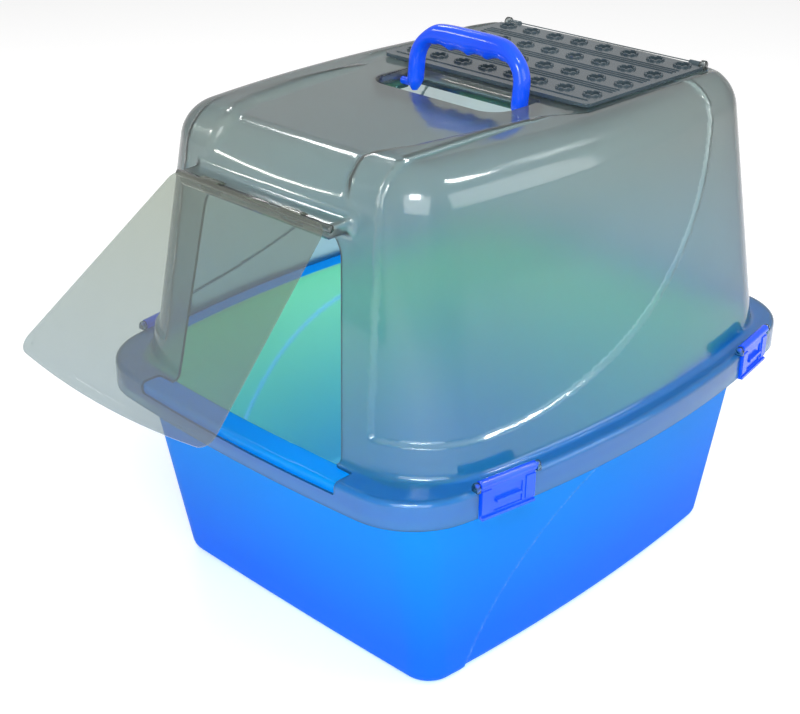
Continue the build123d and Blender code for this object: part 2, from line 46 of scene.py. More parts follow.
# ---------------------------------------------------------------- sizes, millimetres
RIM = (222.0, 269.5, 67.0)                  # half width, half length, corner of the flange
RIM_TURNS = (11.9, 4.8)                     # degrees that half a side and half an end turn
RIM_SIDE_RADIUS = 1021.7
FLANGE_TOP = 211.0
SKIRT_BOTTOM = 187.0
HOOD_WALL = 2.4
BODY_FOOT = (206.3, 248.2, 5.2, 84.0)       # half width, half length, centre y, corner
BODY_CROWN = (160.6, 217.5, 7.0, 44.0)
BODY_TURNS = (10.0, 4.0)
ROOF_TOP = 443.0
SHOULDER = 39.0
WALL_LEAN = 0.17                            # sine of the walls' lean
PANEL_STEP = 3.4
PANEL_MIDDLE = (-180.0, 447.0)              # y, z of the ellipse that bounds the side panels
PANEL_RADII = (329.0, 209.0)
CHANNEL_FLOOR = 437.5
CREASE = -191.0
SLOPE_FOOT = (-222.0, 399.8)
EAVE_FRONT = -237.2
EAVE_TOP = 399.2
EAVE_BOTTOM = 388.0
EAVE_HALF = 88.0
HINGE = (-236.0, 397.0)
HOOK_CENTRE = 46.5
HOOK_SLOT = 24.0
HOOK_ROOM = 6.2
SILL = 200.0
ENTRANCE_TOP = (77.0, 387.0)                # half width and height of the opening's head
ENTRANCE_FLARE = 0.1307
GAP_HALF = 118.0
GAP_BACK = -245.2
WELL = (74.0, -42.0, 17.0)                  # half width, front and rear of the hand well
WELL_DEPTH = 14.0
PIVOT = (5.0, 428.0)
VENT_HINGE = (193.0, 441.5)
FILTER_WELL = (96.0, 36.0, 180.0, 421.5)    # half width, front, rear, floor
LATCH_Y = 170.0
LATCH_HALF = 27.5
LATCH_AXIS = (-1.0, 215.0)                  # outwards of the skirt, and height
PAN_FOOT = (168.0, 200.5, 26.0)             # half width, half length, corner at the floor
PAN_MOUTH = (196.0, 243.5, 36.0)
PAN_MOUTH_HEIGHT = 205.6
PAN_FOOT_TURNS = (5.2, 1.0)
PAN_RIM_TOP = 208.2
PAN_RIM_INSET = 3.2
PAN_LIP_BOTTOM = 193.0
PAN_WALL = 2.6
RECESS_STEP = 2.5
RECESS_MIDDLE = (77.0, -66.7)               # y, z of the circle that bounds the side recess
RECESS_RADIUS = 245.2
RECESS_TOP = (50.0, 177.0)
HANDLE_TOP = 483.0
HANDLE_HALF = 65.0
HANDLE_BEND = 25.0                          # radius of the bail's upper corners
HANDLE_LEAN = radians(6.0)
PILLAR_CREASE = (127.0, 190.0, 0.0793)      # half width at that height, and its lean
VENT_PLATE = 442.0
VENT_HOLE = 6.2
VENT_PITCH = (28.6, 43.0)
VENT_GRID = (8, 4)
VENT_FIRST_ROW = 49.0
GRID_STEP = 3.0                             # cell of the grid the skins are sampled on
LATCH_TURN = asin(LATCH_Y / RIM_SIDE_RADIUS)
LATCH_INSET = RIM_SIDE_RADIUS * (1 - cos(LATCH_TURN))

# ---------------------------------------------------------------- colours, scene linear
HOOD_TINT = (0.79, 0.82, 0.81)
# Tint towards the flange: painted blue light from the pan below.
HOOD_TINT_PAN_LIGHT = (0.62, 0.80, 0.83)
HOOD_EDGE = (0.33, 0.44, 0.48)
HOOD_HAZE = (0.25, 0.28, 0.265)
# Haze on the flange: painted blue light from the pan below.
HOOD_RIM_PAN_LIGHT = (0.04, 0.25, 0.52)
# Paler haze along the side panels' lower ledge: a painted highlight.
HOOD_LEDGE_HIGHLIGHT = (0.60, 0.76, 0.76)
PAN_OUTSIDE = (0.0, 0.235, 1.0)
# Paler cyan towards the rim: painted light let through the thin wall.
PAN_OUTSIDE_LIT_TOP = (0.0, 0.42, 0.93)
# Paler blue along the side recess's step: a painted highlight.
PAN_LEDGE_HIGHLIGHT = (0.22, 0.60, 1.0)
# Inside of the pan: painted light near the rim, painted shade down at the floor.
PAN_TOP_INSIDE_LIT = (0.33, 0.86, 0.50)
PAN_FLOOR_INSIDE_SHADED = (0.09, 0.44, 0.56)
PAN_THROUGH_OUTSIDE = (0.05, 0.52, 1.0)
PAN_THROUGH_INSIDE = (0.60, 0.90, 0.86)
DOOR_TOP = (0.67, 0.71, 0.665)
DOOR_FOOT = (0.64, 0.70, 0.71)
DOOR_BODY = (0.52, 0.52, 0.46)
BLUE = (0.006, 0.125, 1.0)
BLUE_DEEP = (0.004, 0.085, 0.92)
VENT_DARK = (0.066, 0.098, 0.120)
VENT_LIGHT = (0.105, 0.150, 0.180)
FELT_DARK = (0.016, 0.017, 0.020)
FELT_LIGHT = (0.060, 0.062, 0.068)


# ---------------------------------------------------------------- materials
class Graph:
    """A material's node tree, with short calls to add and link nodes."""

    def __init__(self, name):
        self.material = bpy.data.materials.new(name)
        self.material.use_nodes = True
        self.tree = self.material.node_tree
        self.tree.nodes.clear()
        self.output = self.tree.nodes.new("ShaderNodeOutputMaterial")

    def node(self, kind, settings=None, **inputs):
        made = self.tree.nodes.new(kind)
        for key, value in (settings or {}).items():
            setattr(made, key, value)
        for key, value in inputs.items():
            socket = made.inputs[int(key[1:]) if key[0] == "_" else key.replace("_", " ")]
            if isinstance(value, bpy.types.NodeSocket):
                self.tree.links.new(value, socket)
            elif socket.type == "RGBA" and len(value) == 3:
                socket.default_value = (*value, 1.0)
            else:
                socket.default_value = value
        return made

    def math(self, operation, a, b=0.0, clamp=False):
        settings = {"operation": operation, "use_clamp": clamp}
        return self.node("ShaderNodeMath", settings, _0=a, _1=b).outputs[0]

    def range(self, value, low, high):
        """Value mapped to 0..1 between low and high."""
        return self.node(
            "ShaderNodeMapRange", None, Value=value, From_Min=low, From_Max=high
        ).outputs[0]

    def mix(self, share, first, second):
        return self.node("ShaderNodeMixShader", None, _0=share, _1=first, _2=second).outputs[0]

    def noise(self, scale, size, detail=2.0, roughness=0.5):
        where = self.node("ShaderNodeTexCoord").outputs["Object"]
        place = self.node("ShaderNodeMapping", None, Vector=where, Scale=scale).outputs[0]
        return self.node(
            "ShaderNodeTexNoise", None, Vector=place, Scale=size, Detail=detail,
            Roughness=roughness,
        ).outputs[0]

    def ramp(self, value, stops):
        made = self.node("ShaderNodeValToRGB", None, Fac=value)
        elements = made.color_ramp.elements
        while len(elements) < len(stops):
            elements.new(0.5)
        for element, (position, colour) in zip(elements, stops):
            element.position = position
            element.color = (*colour, 1.0)
        return made.outputs[0]

    def blend(self, share, first, second):
        """Colour between two colours or sockets."""
        made = self.node("ShaderNodeMix", {"data_type": "RGBA"}, _0=share)
        for socket, value in ((made.inputs[6], first), (made.inputs[7], second)):
            if isinstance(value, bpy.types.NodeSocket):
                self.tree.links.new(value, socket)
            else:
                socket.default_value = (*value, 1.0)
        return made.outputs[2]

    def height(self):
        """Height in the object's own frame, metres."""
        place = self.node("ShaderNodeTexCoord").outputs["Object"]
        return self.node("ShaderNodeSeparateXYZ", None, Vector=place).outputs["Z"]

    def ledge_highlight(self):
        """Weight of the painted highlight: 1 on a moulded step of the surface, 0 away from it."""
        return self.node("ShaderNodeAttribute", {"attribute_name": "ledge_highlight"}).outputs["Fac"]

    def bump(self, height, strength, distance, normal=None):
        made = self.node(
            "ShaderNodeBump", None, Height=height, Strength=strength, Distance=distance
        )
        if normal is not None:
            self.tree.links.new(normal, made.inputs["Normal"])
        return made.outputs[0]

    def moulded(self, waves=0.3):
        """Normal of a moulded skin: slow flow waves under a very fine grain."""
        flow = self.noise((1.0, 1.0, 0.35), 9.0, detail=3.0)
        grain = self.noise((1.0, 1.0, 1.0), 420.0)
        return self.bump(grain, 0.05, 0.0004, self.bump(flow, waves, 0.004))

    def gloss(self, base, rough, normal, least=0.045, most=0.75):
        """Base under a clear shine that grows towards grazing angles."""
        facing = self.node("ShaderNodeLayerWeight", None, Blend=0.5).outputs["Facing"]
        grazing = self.math("MULTIPLY", self.math("POWER", facing, 4.0), most)
        share = self.math("ADD", grazing, least)
        shine = self.node(
            "ShaderNodeBsdfGlossy", None, Color=(1.0, 1.0, 1.0), Roughness=rough, Normal=normal
        ).outputs[0]
        return self.mix(share, base, shine)

    def milk(self, colour, normal, through):
        """Body of a cloudy plastic: light scattered back, and light let through."""
        back = self.node(
            "ShaderNodeBsdfPrincipled", None, Base_Color=colour, Roughness=0.5, Normal=normal
        )
        back.inputs["Specular IOR Level"].default_value = 0.0
        passed = self.node("ShaderNodeBsdfTranslucent", None, Color=colour, Normal=normal)
        return self.mix(through, back.outputs[0], passed.outputs[0])

    def shadowless(self, base, tint):
        """Base that lets lamps through, tinted."""
        lamp = self.node("ShaderNodeLightPath").outputs["Is Shadow Ray"]
        clear = self.node("ShaderNodeBsdfTransparent", None, Color=tint).outputs[0]
        return self.mix(lamp, base, clear)

    def finish(self, surface):
        self.tree.links.new(surface, self.output.inputs["Surface"])
        return self.material


def scaled(colour, factor):
    return tuple(min(1.0, c * factor) for c in colour)


def hood_plastic():
    """Smoky frosted plastic: what is close behind it shows, what is far is a blur. Low down, its
    tint and haze turn blue as painted light from the pan, and a highlight is painted along the
    side panels' lower ledge.
    """
    g = Graph("hood_plastic")
    skin = g.moulded()
    cloud = g.noise((1.0, 1.0, 0.4), 7.0, detail=3.0)
    height = g.height()
    facing = g.node("ShaderNodeLayerWeight", None, Blend=0.5).outputs["Facing"]
    edge = g.math("POWER", facing, 2.2)
    # Below 0.4 m the tint and the haze turn blue: painted blue light from the pan.
    low = g.range(height, 0.400, 0.205)
    tint = g.blend(edge, g.blend(low, HOOD_TINT, HOOD_TINT_PAN_LIGHT), HOOD_EDGE)
    blurred = g.node(
        "ShaderNodeBsdfRefraction", None, Color=tint, Roughness=0.34, IOR=1.36, Normal=skin
    ).outputs[0]
    cloudy = g.ramp(cloud, ((0.3, scaled(HOOD_HAZE, 0.93)), (0.7, HOOD_HAZE)))
    haze_and_painted_light = g.blend(low, cloudy, HOOD_RIM_PAN_LIGHT)
    # A highlight is painted along the side panels' lower ledge: paler, thicker haze there.
    ledge_highlight = g.ledge_highlight()
    haze_and_painted_light = g.blend(g.math("MULTIPLY", ledge_highlight, 0.7), haze_and_painted_light, HOOD_LEDGE_HIGHLIGHT)
    share = g.math("ADD", g.math("MULTIPLY", edge, 0.30), 0.12)
    share = g.math("ADD", share, g.math("MULTIPLY", ledge_highlight, 0.22))
    # More haze on the flange, where the painted blue light from the pan is strongest.
    pan_light_on_flange = g.math("MULTIPLY", g.range(height, 0.216, 0.208), 0.10)
    share = g.math("ADD", share, pan_light_on_flange, clamp=True)
    base = g.mix(share, blurred, g.milk(haze_and_painted_light, skin, 0.5))
    return g.finish(g.shadowless(g.gloss(base, 0.085, skin), (0.93, 0.94, 0.935)))


def pan_plastic():
    """Blue cloudy plastic, paler and greener where it faces the inside of the pan, with painted
    light towards the top of both faces, painted shade down at the inside floor and a painted
    highlight along each side recess's step.
    """
    g = Graph("pan_plastic")
    skin = g.moulded(0.2)
    place = g.node("ShaderNodeTexCoord").outputs["Object"]
    middle = g.node(
        "ShaderNodeVectorMath", {"operation": "SUBTRACT"}, _0=place, _1=(0.0, 0.0, 0.12)
    ).outputs[0]
    normal = g.node("ShaderNodeNewGeometry").outputs["Normal"]
    outwards = g.node(
        "ShaderNodeVectorMath", {"operation": "DOT_PRODUCT"}, _0=middle, _1=normal
    ).outputs["Value"]
    inner = g.range(outwards, 0.0, -0.05)
    cloud = g.noise((1.0, 1.0, 1.0), 6.0, detail=3.0)
    outside = g.ramp(cloud, ((0.3, scaled(PAN_OUTSIDE, 0.94)), (0.7, PAN_OUTSIDE)))
    # Paler towards the rim: painted light let through the thin wall.
    outside = g.blend(g.range(g.height(), 0.03, 0.21), outside, PAN_OUTSIDE_LIT_TOP)
    # Inside: painted light near the rim fading to painted shade at the floor.
    inside = g.blend(g.range(g.height(), 0.20, 0.02), PAN_TOP_INSIDE_LIT, PAN_FLOOR_INSIDE_SHADED)
    colour = g.blend(inner, outside, inside)
    # A highlight is painted along the step of each side recess.
    colour = g.blend(g.math("MULTIPLY", g.ledge_highlight(), 0.8), colour, PAN_LEDGE_HIGHLIGHT)
    seen = g.blend(inner, PAN_THROUGH_OUTSIDE, PAN_THROUGH_INSIDE)
    blurred = g.node(
        "ShaderNodeBsdfRefraction", None, Color=seen, Roughness=0.45, IOR=1.36, Normal=skin
    ).outputs[0]
    base = g.mix(0.68, blurred, g.milk(colour, skin, 0.45))
    return g.finish(g.shadowless(g.gloss(base, 0.2, skin, 0.012, 0.15), (0.35, 0.72, 0.95)))


def door_plastic():
    """Thin clear sheet, faintly yellow at its head."""
    g = Graph("door_plastic")
    skin = g.moulded(0.15)
    down = g.range(g.height(), 0.40, 0.27)
    tint = g.ramp(down, ((0.1, DOOR_TOP), (0.9, DOOR_FOOT)))
    clear = g.node("ShaderNodeBsdfTransparent", None, Color=tint).outputs[0]
    body = g.milk(DOOR_BODY, skin, 0.5)
    return g.finish(g.gloss(g.mix(0.13, clear, body), 0.12, skin))


def blue_plastic():
    """Bright blue, slightly cloudy."""
    g = Graph("blue_plastic")
    skin = g.moulded(0.15)
    cloud = g.noise((1.0, 1.0, 1.0), 14.0, detail=3.0)
    colour = g.ramp(cloud, ((0.3, BLUE_DEEP), (0.7, BLUE)))
    return g.finish(g.gloss(g.milk(colour, skin, 0.3), 0.14, skin, 0.04))


def vent_plastic():
    """Dark smoky grille."""
    g = Graph("vent_plastic")
    skin = g.moulded(0.2)
    cloud = g.noise((1.0, 1.0, 1.0), 12.0, detail=3.0)
    colour = g.ramp(cloud, ((0.3, VENT_DARK), (0.7, VENT_LIGHT)))
    clear = g.node("ShaderNodeBsdfTransparent", None, Color=(0.55, 0.62, 0.64)).outputs[0]
    return g.finish(g.gloss(g.mix(0.72, clear, g.milk(colour, skin, 0.3)), 0.2, skin, 0.03))


def carbon_felt():
    """Matte pad of pressed carbon fibres."""
    g = Graph("carbon_felt")
    fibres = g.noise((1.0, 1.0, 0.3), 900.0, detail=4.0, roughness=0.7)
    clumps = g.noise((1.0, 1.0, 1.0), 90.0, detail=3.0)
    colour = g.ramp(g.math("MULTIPLY", fibres, clumps), ((0.15, FELT_DARK), (0.45, FELT_LIGHT)))
    made = g.node(
        "ShaderNodeBsdfPrincipled", None, Base_Color=colour, Roughness=0.95,
        Normal=g.bump(fibres, 0.9, 0.001),
    )
    made.inputs["Sheen Weight"].default_value = 0.3
    return g.finish(made.outputs[0])


def floor_material():
    """Plain white studio sweep."""
    g = Graph("studio_floor")
    made = g.node(
        "ShaderNodeBsdfPrincipled", None, Base_Color=(0.95, 0.95, 0.95), Roughness=0.8,
        Emission_Color=(1.0, 1.0, 1.0), Emission_Strength=0.19,
    )
    made.inputs["Specular IOR Level"].default_value = 0.0
    return g.finish(made.outputs[0])


SMOKE = hood_plastic()
SEA_BLUE = pan_plastic()
CLEAR = door_plastic()
BRIGHT_BLUE = blue_plastic()
GRILLE = vent_plastic()
FELT = carbon_felt()

FINISH = {
    "pan": SEA_BLUE,
    "hood": SMOKE,
    "door_flap": CLEAR,
    "vent_cover": GRILLE,
    "odor_filter": FELT,
}
for name, node in nodes.items():
    for slot in node.material_slots:
        slot.material = FINISH.get(name, BRIGHT_BLUE)

# ---------------------------------------------------------------- mesh tools, millimetres
def smooth_max(a, b, radius):
    """Larger of two fields, rounded where they meet."""
    blend = np.maximum(radius - np.abs(a - b), 0.0) / radius
    return np.maximum(a, b) + blend * blend * radius / 4.0


def smooth_min(a, b, radius):
    return -smooth_max(-a, -b, radius)


def rounded_corner(a, b, radius):
    """Intersection of two fields with a true fillet of that radius."""
    outside = np.hypot(np.maximum(a + radius, 0.0), np.maximum(b + radius, 0.0))
    return np.minimum(np.maximum(a, b) + radius, 0.0) + outside - radius


def smooth_step(value, low, high):
    share = np.clip((value - low) / (high - low), 0.0, 1.0)
    return share * share * (3.0 - 2.0 * share)


def outline_distance(x, y, half_width, half_length, corner, turns):
    """Distance outside a level outline of bowed sides and ends, tangent to corner arcs."""
    side, end = (np.radians(turn) for turn in turns)
    a, b, c, d = 1 - np.cos(side), np.sin(end), np.sin(side), 1 - np.cos(end)
    p = half_width - corner * (np.cos(side) - np.sin(end))
    q = half_length - corner * (np.cos(end) - np.sin(side))
    side_radius = (p * d - b * q) / (a * d - b * c)
    end_radius = (a * q - c * p) / (a * d - b * c)
    x, y = np.abs(x), np.abs(y)
    from_side = x - half_width + side_radius
    from_end = y - half_length + end_radius
    corner_x = half_width - side_radius * a - corner * np.cos(side)
    corner_y = (side_radius - corner) * np.sin(side)
    by_side = y * np.cos(side) < from_side * np.sin(side)
    by_end = x * np.cos(end) < from_end * np.sin(end)
    at_side = np.where(by_side, np.hypot(from_side, y) - side_radius, -1e9)
    at_end = np.where(by_end, np.hypot(x, from_end) - end_radius, -1e9)
    at_corner = np.hypot(x - corner_x, y - corner_y) - corner
    return np.where(by_side | by_end, np.maximum(at_side, at_end), at_corner)


def polygonise(field, low, high, step):
    """Triangles on the zero surface of field, with every vertex moved onto it."""
    axes = [np.arange(lo, hi + step, step) for lo, hi in zip(low, high)]
    x, y, z = np.meshgrid(*axes, indexing="ij", sparse=True)
    value = field(x, y, z)
    inside = value < 0
    shape = np.array(value.shape) - 1
    corners = [(i, j, k) for i in (0, 1) for j in (0, 1) for k in (0, 1)]
    window = [tuple(slice(c, c + n) for c, n in zip(corner, shape)) for corner in corners]
    count = sum(inside[w].astype(np.int8) for w in window)
    cells = np.argwhere((count > 0) & (count < 8))
    number = -np.ones(shape, np.int64)
    number[tuple(cells.T)] = np.arange(len(cells))
    total, hits = np.zeros((len(cells), 3)), np.zeros((len(cells), 1))
    for a in corners:
        for axis in range(3):
            if a[axis]:
                continue
            b = tuple(c + (n == axis) for n, c in enumerate(a))
            va, vb = value[tuple((cells + a).T)], value[tuple((cells + b).T)]
            cross = (va < 0) != (vb < 0)
            share = np.where(cross, va / np.where(cross, va - vb, 1.0), 0.0)[:, None]
            point = np.array(a, float) + share * (np.array(b) - a)
            total += np.where(cross[:, None], point, 0.0)
            hits += cross[:, None]
    vertices = (cells + total / hits) * step + np.array([a[0] for a in axes])
    quads = []
    for axis in range(3):
        u, v = (axis + 1) % 3, (axis + 2) % 3
        first = [slice(0, None)] * 3
        second = [slice(0, None)] * 3
        first[axis], second[axis] = slice(0, -1), slice(1, None)
        a, b = inside[tuple(first)], inside[tuple(second)]
        edges = np.argwhere(a != b)
        across = edges[:, [u, v]]
        edges = edges[((across > 0) & (across < (shape[u], shape[v]))).all(1)]
        starts = a[tuple(edges.T)]
        step_u, step_v = np.eye(3, dtype=int)[u], np.eye(3, dtype=int)[v]
        loop = [edges - step_u - step_v, edges - step_v, edges, edges - step_u]
        quad = np.stack([number[tuple(c.T)] for c in loop], 1)
        quad[~starts] = quad[~starts][:, ::-1]
        quads.append(quad)
    quads = np.concatenate(quads)
    pairs = np.concatenate([quads[:, [k, (k + 1) % 4]] for k in range(4)])
    for relax in (0.5, 0.5, 0.5, 0.0, 0.0):
        if relax:
            near, degree = np.zeros_like(vertices), np.zeros((len(vertices), 1))
            for p, q in ((0, 1), (1, 0)):
                np.add.at(near, pairs[:, p], vertices[pairs[:, q]])
                np.add.at(degree, pairs[:, p], 1.0)
            vertices = vertices + relax * (near / np.maximum(degree, 1) - vertices)
        vertices = onto(field, vertices)
    triangles = np.concatenate([quads[:, [0, 1, 2]], quads[:, [0, 2, 3]]])
    return vertices, triangles


def slope_of(field, points, reach=0.4):
    """Gradient of field at points."""
    parts = []
    for axis in range(3):
        shift = np.eye(3)[axis] * reach
        parts.append((field(*(points + shift).T) - field(*(points - shift).T)) / (2 * reach))
    return np.stack(parts, 1)


def onto(field, points):
    """Points moved along the gradient onto the zero surface."""
    gradient = slope_of(field, points)
    square = np.maximum((gradient**2).sum(1), 0.05)
    travel = np.clip(field(*points.T) / square, -3.0, 3.0)
    return points - gradient * travel[:, None]


def clip(vertices, triangles, outside):
    """Keeps what lies where outside() is positive, cutting the triangles that cross its edge."""
    value = outside(*vertices.T)
    keep = value > 0
    kept = keep[triangles].sum(1)
    whole = triangles[kept == 3]
    crossed = triangles[(kept > 0) & (kept < 3)]
    odd = np.where(keep[crossed].sum(1) == 1, True, False)
    alone = np.argmax(keep[crossed] == odd[:, None], axis=1)
    order = (alone[:, None] + np.arange(3)) % 3
    crossed = np.take_along_axis(crossed, order, 1)
    edges = np.concatenate([crossed[:, [0, 1]], crossed[:, [0, 2]]])
    unique, back = np.unique(np.sort(edges, 1), axis=0, return_inverse=True)
    back = back.reshape(-1)
    a, b = vertices[unique[:, 0]], vertices[unique[:, 1]]
    low, high = np.zeros(len(unique)), np.ones(len(unique))
    first = keep[unique[:, 0]]
    for _ in range(14):
        middle = (low + high) / 2
        same = (outside(*(a + (b - a) * middle[:, None]).T) > 0) == first
        low, high = np.where(same, middle, low), np.where(same, high, middle)
    cuts = a + (b - a) * ((low + high) / 2)[:, None]
    p = len(vertices) + back[: len(crossed)]
    q = len(vertices) + back[len(crossed):]
    tips = np.stack([crossed[:, 0], p, q], 1)[odd]
    two = ~odd
    rest = np.concatenate(
        [
            np.stack([p, crossed[:, 1], crossed[:, 2]], 1)[two],
            np.stack([p, crossed[:, 2], q], 1)[two],
        ]
    )
    vertices = np.concatenate([vertices, cuts])
    triangles = np.concatenate([whole, tips, rest])
    used, triangles = np.unique(triangles, return_inverse=True)
    return vertices[used], triangles.reshape(-1, 3)


def thicken(vertices, triangles, normals, thickness):
    """Closed shell: the surface, its copy set inwards, and rims along the free edges."""
    count = len(vertices)
    inner = vertices - normals * thickness
    sides = np.concatenate([triangles[:, [0, 1]], triangles[:, [1, 2]], triangles[:, [2, 0]]])
    _, first, times = np.unique(np.sort(sides, 1), axis=0, return_index=True, return_counts=True)
    free = sides[first[times == 1]]
    edge, place = np.unique(free, return_inverse=True)
    place = place.reshape(-1, 2)
    outer_edge, inner_edge = 2 * count + place, 2 * count + len(edge) + place
    rims = np.stack([outer_edge[:, 1], outer_edge[:, 0], inner_edge[:, 0], inner_edge[:, 1]], 1)
    faces = triangles.tolist() + (triangles[:, ::-1] + count).tolist() + rims.tolist()
    points = np.concatenate([vertices, inner, vertices[edge], inner[edge]])
    facing = np.concatenate([normals, -normals, np.zeros((2 * len(edge), 3))])
    return points, faces, facing


def add_mesh(name, vertices, faces, material, facing=None, ledge_highlight=None):
    """Object from millimetre vertices, shaded smooth but for real edges.

    facing gives known surface directions; the last argument gives how near each point is to a
    moulded step, the weight of the highlight painted along it."""
    mesh = bpy.data.meshes.new(name)
    mesh.from_pydata((np.asarray(vertices) * 0.001).tolist(), [], faces)
    mesh.materials.append(material)
    mesh.polygons.foreach_set("use_smooth", [True] * len(mesh.polygons))
    mesh.set_sharp_from_angle(angle=radians(38))
    if facing is not None:
        mesh.normals_split_custom_set_from_vertices(facing.tolist())
    if ledge_highlight is not None:
        mesh.attributes.new("ledge_highlight", "FLOAT", "POINT").data.foreach_set("value", ledge_highlight)
    made = bpy.data.objects.new(name, mesh)
    scene.collection.objects.link(made)
    return made


def loft(rings, close_start=False, close_end=False, loop=False):
    """Quads between rings of equally many points."""
    count = len(rings[0])
    vertices = np.concatenate(rings)
    faces = []
    last = len(rings) if loop else len(rings) - 1
    for row in range(last):
        a, b = row * count, ((row + 1) % len(rings)) * count
        for i in range(count):
            j = (i + 1) % count
            faces.append((a + i, a + j, b + j, b + i))
    if close_start:
        faces.append(tuple(range(count))[::-1])
    if close_end:
        faces.append(tuple(range(len(vertices) - count, len(vertices))))
    return vertices, faces


def joined(parts):
    """Vertices and faces of several parts as one."""
    vertices, faces, start = [], [], 0
    for points, polygons in parts:
        vertices.append(np.asarray(points, float))
        faces += [[i + start for i in polygon] for polygon in polygons]
        start += len(points)
    return np.concatenate(vertices), faces


def superellipse(count, power):
    angle = np.linspace(0, 2 * pi, count, endpoint=False)
    c, s = np.cos(angle), np.sin(angle)
    return np.sign(c) * np.abs(c) ** (2 / power), np.sign(s) * np.abs(s) ** (2 / power)


def rounded_bar(start, end, up, width, height, power=6.0, count=28, edge=0.6):
    """Bar between two points with softened edges, width across and height along up."""
    start, end, up = (np.array(v, float) for v in (start, end, up))
    along = (end - start) / np.linalg.norm(end - start)
    across = np.cross(along, up)
    across /= np.linalg.norm(across)
    up = np.cross(across, along)
    c, s = superellipse(count, power)
    rings = []
    length = np.linalg.norm(end - start)
    for place, shrink in ((0, edge), (edge, 0), (length - edge, 0), (length, edge)):
        w, h = width / 2 - shrink, height / 2 - shrink
        rings.append(start + along * place + np.outer(c * w, across) + np.outer(s * h, up))
    return loft(rings, True, True)


def rod(start, end, radius, edge=0.5, count=28):
    direction = np.array(end, float) - np.array(start, float)
    up = (0, 0, 1) if abs(direction[2]) < 0.9 * np.linalg.norm(direction) else (0, 1, 0)
    return rounded_bar(start, end, up, 2 * radius, 2 * radius, 2.0, count, edge)


# ---------------------------------------------------------------- hood
def filleted(a, b, radius, cosine):
    """Intersection of two fields whose normals are cosine apart, with a true fillet."""
    u, v = a + radius, b + radius
    arc = np.sqrt(np.maximum((u * u + v * v - 2 * cosine * u * v) / (1 - cosine**2), 0.0))
    on_arc = (u > cosine * v) & (v > cosine * u)
    return np.where(on_arc, arc, np.maximum(u, v)) - radius


def hood_walls(x, y, z):
    """Tapered walls under wide rounded shoulders."""
    share = (z - FLANGE_TOP) / (ROOF_TOP - FLANGE_TOP)
    width, length, middle, corner = (a + (b - a) * share for a, b in zip(BODY_FOOT, BODY_CROWN))
    wall = outline_distance(x, y - middle, width, length, corner, BODY_TURNS)
    return filleted(wall * 0.985, z - ROOF_TOP, SHOULDER, WALL_LEAN)


def panel_rim(y, z):
    """Distance outside the curve that bounds the side panels behind and below."""
    u = np.maximum(y - PANEL_MIDDLE[0], 0.0)
    v = np.maximum(PANEL_MIDDLE[1] - z, 0.0)
    reach = np.hypot(u / PANEL_RADII[0], v / PANEL_RADII[1])
    steep = np.hypot(u / PANEL_RADII[0] ** 2, v / PANEL_RADII[1] ** 2)
    return reach * (reach - 1) / np.maximum(steep, 1e-6)


def pillar_crease(x, z):
    """Distance towards the middle from the crease that bounds the side panels in front."""
    half, foot, lean = PILLAR_CREASE
    return half - (z - foot) * lean - np.abs(x)


def side_panel(x, y, z):
    """Distance inside the D-shaped panel sunk into each side."""
    return -smooth_max(panel_rim(y, z), pillar_crease(x, z), 5.0)


def roof_trough(x, y, z):
    """Distance outside the space above the roof channel and the front slope."""
    fall = np.array([CREASE - SLOPE_FOOT[0], CHANNEL_FLOOR - SLOPE_FOOT[1]])
    fall /= np.linalg.norm(fall)
    slope = (z - CHANNEL_FLOOR) * fall[0] - (y - CREASE) * fall[1]
    floor = smooth_max(z - CHANNEL_FLOOR, slope, 9.0)
    half = np.interp(y, (CREASE, -155, -75, -18), (70, 84, 97, 104))
    half = half + 17.0 * smooth_step(y, -22, 18)
    half = half + np.interp(z, (393, 399, 412, 426, 437), (26.5, 19, 7, 1, 0))
    side = (np.abs(x) - half - floor) * 0.75
    return smooth_max(side, -floor, 4.0)


def eave(x, y, z):
    """The brow over the entrance."""
    front = smooth_max(EAVE_FRONT - y, z - EAVE_TOP - 0.04 * (y - EAVE_FRONT), 2.5)
    lengthwise = smooth_max(front, EAVE_BOTTOM - z, 2.0)
    return smooth_max(smooth_max(lengthwise, np.abs(x) - EAVE_HALF, 5.0), y + 200, 2.0)


def hood_outside(x, y, z):
    """Outer surface of the hood."""
    walls = hood_walls(x, y, z) + PANEL_STEP * smooth_step(side_panel(x, y, z), -1.8, 1.8)
    body = smooth_max(walls, -roof_trough(x, y, z), 3.5)
    body = smooth_min(body, eave(x, y, z), 7.0)
    rim = outline_distance(x, y, *RIM, RIM_TURNS)
    return smooth_min(body, rounded_corner(rim, z - FLANGE_TOP, 5.0), 5.0)


